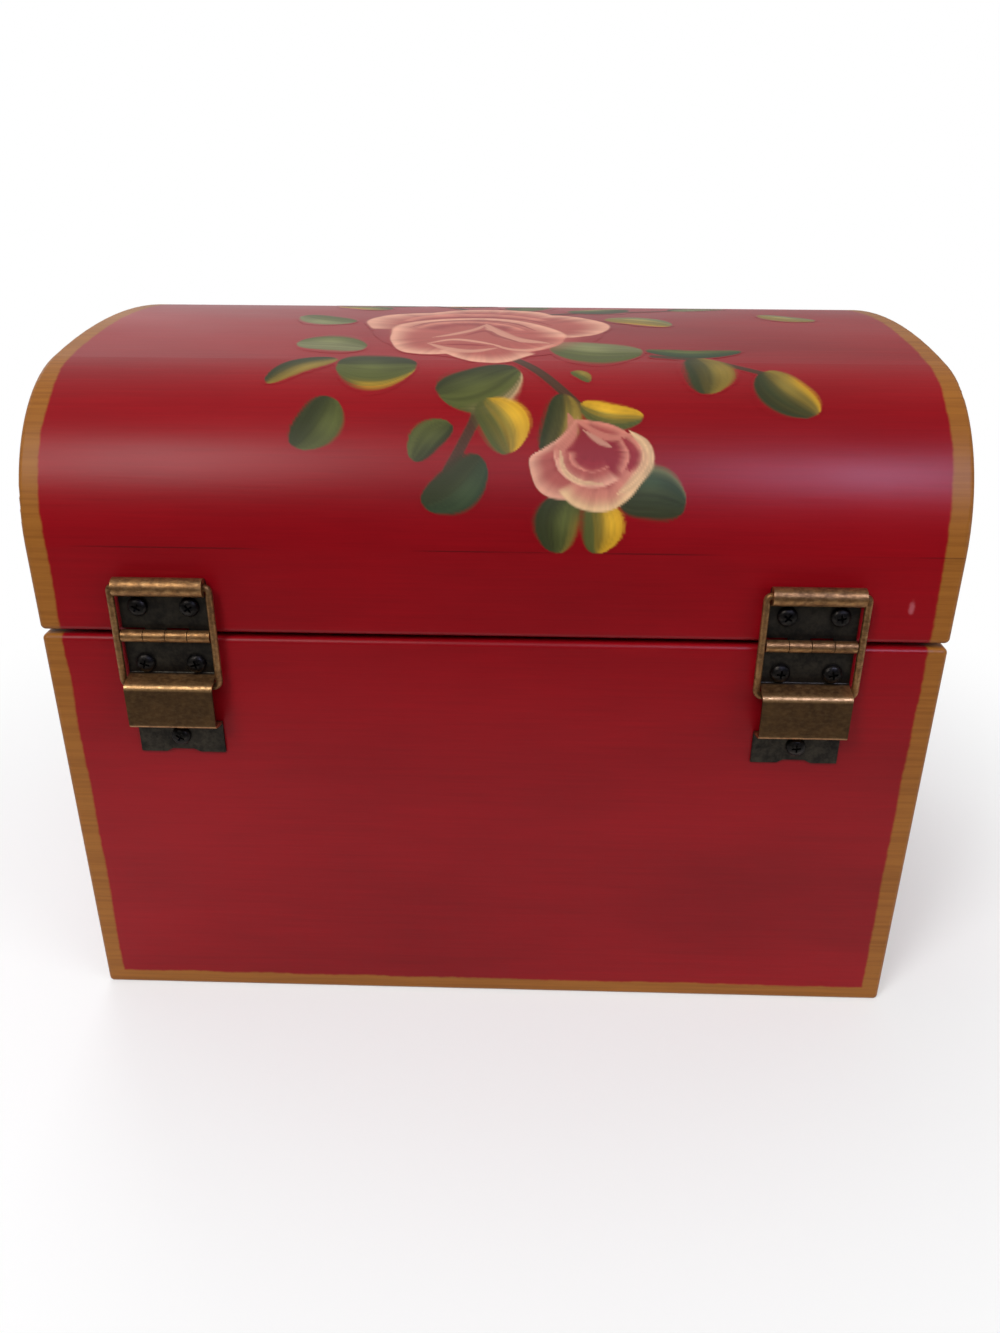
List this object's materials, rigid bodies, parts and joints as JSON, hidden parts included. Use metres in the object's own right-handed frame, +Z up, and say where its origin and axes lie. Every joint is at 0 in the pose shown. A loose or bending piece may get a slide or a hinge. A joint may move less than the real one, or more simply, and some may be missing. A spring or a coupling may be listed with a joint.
{
  "type": "treasure chest jewelry box",
  "caption": "Barrel-top wooden keepsake chest with a painted lid on two stop hinges, a front hook latch and a lift-out tray with ring rolls.",
  "frame": {"origin": "middle of the base's underside", "axes": "+Z up, -Y the latched front, +Y the hinged back that the picture shows, +X to the right seen from the front"},
  "size_m": [0.25, 0.2004, 0.1991],
  "materials": {
    "red_lacquer": "glossy red lacquer over visible grain with an ochre painted border",
    "plain_wood": "plain thin board",
    "tray_wood": "satin stained wood",
    "velvet": "short-pile velvet on card or foam",
    "antique_bronze": "antiqued, worn bright at the edges",
    "dark_screws": "blackened"
  },
  "bodies": {
    "base": {"base_back_board": "red_lacquer", "base_front_board": "red_lacquer", "base_left_board": "red_lacquer", "base_right_board": "red_lacquer", "base_bottom_board": "plain_wood", "base_floor_lining": "velvet", "base_wall_linings": "velvet", "tray_ledge_left": "tray_wood", "tray_ledge_right": "tray_wood", "latch_hook_plate": "antique_bronze", "latch_pivot_post": "antique_bronze", "latch_hook_screws": "dark_screws", "hinge_left_lower_leaf": "antique_bronze", "hinge_left_pin": "antique_bronze", "hinge_left_lower_screws": "dark_screws", "hinge_right_lower_leaf": "antique_bronze", "hinge_right_pin": "antique_bronze", "hinge_right_lower_screws": "dark_screws"},
    "lid": {"lid_back_rail": "red_lacquer", "lid_front_rail": "red_lacquer", "lid_left_end": "red_lacquer", "lid_right_end": "red_lacquer", "lid_top_panel": "red_lacquer", "lid_rail_linings": "velvet", "lid_arch_lining": "velvet", "lid_end_linings": "velvet", "latch_catch_plate": "antique_bronze", "latch_catch_stud": "antique_bronze", "latch_catch_screws": "dark_screws", "hinge_left_upper_leaf": "antique_bronze", "hinge_left_upper_screws": "dark_screws", "hinge_right_upper_leaf": "antique_bronze", "hinge_right_upper_screws": "dark_screws"},
    "tray": {"tray_bottom": "tray_wood", "tray_front_wall": "tray_wood", "tray_back_wall": "tray_wood", "tray_left_wall": "tray_wood", "tray_right_wall": "tray_wood", "tray_long_divider": "tray_wood", "tray_ring_divider": "tray_wood", "tray_front_dividers": "tray_wood", "tray_pads": "velvet", "ring_rolls": "velvet"},
    "hook": {"latch_hook": "antique_bronze"},
    "bail_left": {"hinge_left_bail": "antique_bronze"},
    "bail_right": {"hinge_right_bail": "antique_bronze"}
  },
  "joints": [
    {"name": "lid_hinge", "type": "hinge", "parent": "base", "child": "lid", "pos_m": [0, 0.09685, 0.1251], "axis": [-1, 0, 0], "range_deg": [0, 86]},
    {"name": "tray_lift", "type": "slide", "parent": "base", "child": "tray", "axis": [0, 0, 1], "range_m": [0, 0.04]},
    {"name": "hook_swing", "type": "hinge", "parent": "base", "child": "hook", "pos_m": [0, -0.0966, 0.11], "axis": [0, 1, 0], "range_deg": [-160, 180]},
    {"name": "bail_left_swing", "type": "hinge", "parent": "lid", "child": "bail_left", "pos_m": [-0.08695, 0.0977, 0.1398], "axis": [-1, 0, 0], "range_deg": [-55.5, 0]},
    {"name": "bail_right_swing", "type": "hinge", "parent": "lid", "child": "bail_right", "pos_m": [0.08905, 0.0977, 0.1398], "axis": [-1, 0, 0], "range_deg": [-55.5, 0]}
  ],
  "couplings": [
    {"joint": "bail_left_swing", "follows": "lid_hinge", "ratio": -0.64},
    {"joint": "bail_right_swing", "follows": "lid_hinge", "ratio": -0.64}
  ]
}
